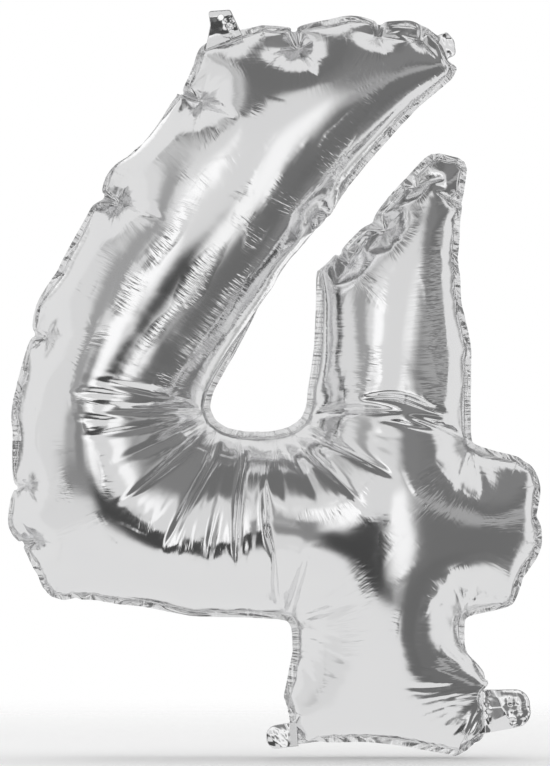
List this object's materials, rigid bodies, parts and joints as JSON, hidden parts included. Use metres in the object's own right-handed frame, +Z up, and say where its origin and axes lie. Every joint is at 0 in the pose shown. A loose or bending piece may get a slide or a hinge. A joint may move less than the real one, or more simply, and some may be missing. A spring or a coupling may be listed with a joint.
{
  "type": "foil number balloon",
  "caption": "Inflated foil balloon in the shape of the figure 4, with welded rim, filling neck, flat valve and three hanging tabs.",
  "frame": {"origin": "middle of the balloon's underside, in the plane of the weld", "axes": "+Z up along the figure's height, -Y out of the front of the figure, +X to the right seen from the front, where the filling neck is"},
  "size_m": [0.2875, 0.0922, 0.4019],
  "materials": {
    "foil": "mirror-bright metallised film, finely wrinkled beside its welds",
    "valve_film": "clear"
  },
  "bodies": {
    "balloon": {"front_panel": "foil", "back_panel": "foil"},
    "filling_neck": {"neck_front_ply": "foil", "neck_back_ply": "foil", "neck_front_valve_film": "valve_film", "neck_back_valve_film": "valve_film"},
    "front_valve_flap": {"inner_front_valve_film": "valve_film"},
    "back_valve_flap": {"inner_back_valve_film": "valve_film"},
    "top_tab_body": {"top_hanging_tab": "foil"},
    "tip_tab_body": {"tip_tab": "foil"},
    "foot_tab_body": {"foot_tab": "foil"}
  },
  "joints": [
    {"name": "neck_fold", "type": "hinge", "parent": "balloon", "child": "filling_neck", "pos_m": [0.11254, 0, 0.02425], "axis": [-0.097, 0, 0.9953], "range_deg": [-85, 85]},
    {"name": "top_tab_fold", "type": "hinge", "parent": "balloon", "child": "top_tab_body", "pos_m": [-0.02941, 0, 0.38765], "axis": [-0.9236, 0, -0.3834], "range_deg": [-85, 85]},
    {"name": "tip_tab_fold", "type": "hinge", "parent": "balloon", "child": "tip_tab_body", "pos_m": [0.09117, 0, 0.38194], "axis": [-0.3243, 0, 0.9459], "range_deg": [-85, 85]},
    {"name": "foot_tab_fold", "type": "hinge", "parent": "balloon", "child": "foot_tab_body", "pos_m": [0.0081, 0, 0.0119], "axis": [0.0816, 0, -0.9967], "range_deg": [-85, 85]},
    {"name": "front_valve_opening", "type": "hinge", "parent": "balloon", "child": "front_valve_flap", "pos_m": [0.11065, 0, 0.02407], "axis": [-0.097, 0, 0.9953], "range_deg": [0, 4]},
    {"name": "back_valve_opening", "type": "hinge", "parent": "balloon", "child": "back_valve_flap", "pos_m": [0.11065, 0, 0.02407], "axis": [-0.097, 0, 0.9953], "range_deg": [-4, 0]}
  ],
  "couplings": [
    {"joint": "back_valve_opening", "follows": "front_valve_opening", "ratio": -1}
  ]
}
